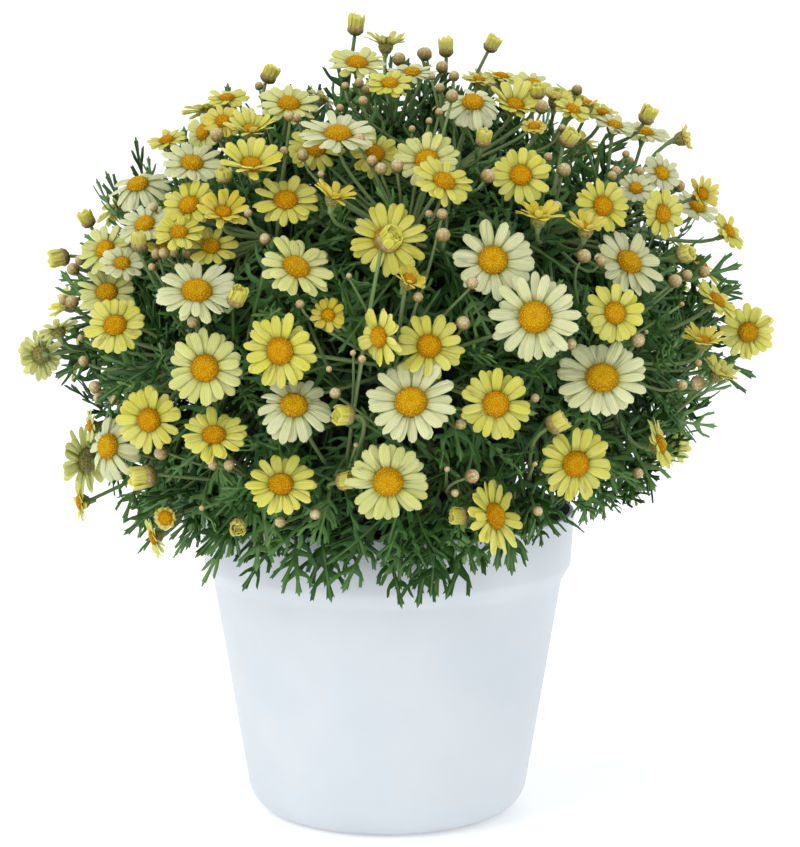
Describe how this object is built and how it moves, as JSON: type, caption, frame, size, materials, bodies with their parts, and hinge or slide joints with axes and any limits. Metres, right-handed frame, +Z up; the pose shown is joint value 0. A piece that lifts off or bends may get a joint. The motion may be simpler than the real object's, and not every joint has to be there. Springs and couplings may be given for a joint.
{
  "type": "potted marguerite daisy",
  "caption": "Bushy marguerite daisy with pale yellow blooms, buds and cut grey-green leaves, in a plain round collared pot.",
  "frame": {"origin": "centre of the pot's flat underside, at the surface it stands on", "axes": "+Z up along the pot's axis, -Y towards the side that the picture shows, +X to its right"},
  "size_m": [0.4651, 0.431, 0.4938],
  "materials": {
    "pot": "satin bluish white plastic",
    "soil": "moist dark peat soil",
    "foliage": "matt grey-green leaves",
    "flowers": "pale yellow petals, orange discs, grey-green stalks"
  },
  "bodies": {
    "root": {"pot": "pot", "soil": "soil", "leafy_stem_01": "foliage", "leafy_stem_02": "foliage", "leafy_stem_03": "foliage", "leafy_stem_04": "foliage", "leafy_stem_05": "foliage", "leafy_stem_06": "foliage", "leafy_stem_07": "foliage", "leafy_stem_08": "foliage", "leafy_stem_09": "foliage", "leafy_stem_10": "foliage", "leafy_stem_11": "foliage", "leafy_stem_12": "foliage", "leafy_stem_13": "foliage", "leafy_stem_14": "foliage", "flower_spray_01": "flowers", "flower_spray_02": "flowers", "flower_spray_03": "flowers", "flower_spray_04": "flowers", "flower_spray_05": "flowers", "flower_spray_06": "flowers", "flower_spray_07": "flowers", "flower_spray_08": "flowers", "flower_spray_09": "flowers", "flower_spray_10": "flowers", "flower_spray_11": "flowers", "flower_spray_12": "flowers", "flower_spray_13": "flowers", "flower_spray_14": "flowers", "flower_spray_15": "flowers", "flower_spray_16": "flowers", "flower_spray_17": "flowers", "flower_spray_18": "flowers", "flower_spray_19": "flowers", "flower_spray_20": "flowers", "flower_spray_21": "flowers", "flower_spray_22": "flowers", "flower_spray_23": "flowers", "flower_spray_24": "flowers", "flower_spray_25": "flowers", "flower_spray_26": "flowers", "flower_spray_27": "flowers", "flower_spray_28": "flowers", "flower_spray_29": "flowers", "flower_spray_30": "flowers", "flower_spray_31": "flowers", "flower_spray_32": "flowers", "flower_spray_33": "flowers", "flower_spray_34": "flowers", "flower_spray_35": "flowers", "flower_spray_36": "flowers", "flower_spray_37": "flowers", "flower_spray_38": "flowers", "flower_spray_39": "flowers", "flower_spray_40": "flowers", "flower_spray_41": "flowers", "flower_spray_42": "flowers"}
  },
  "joints": []
}
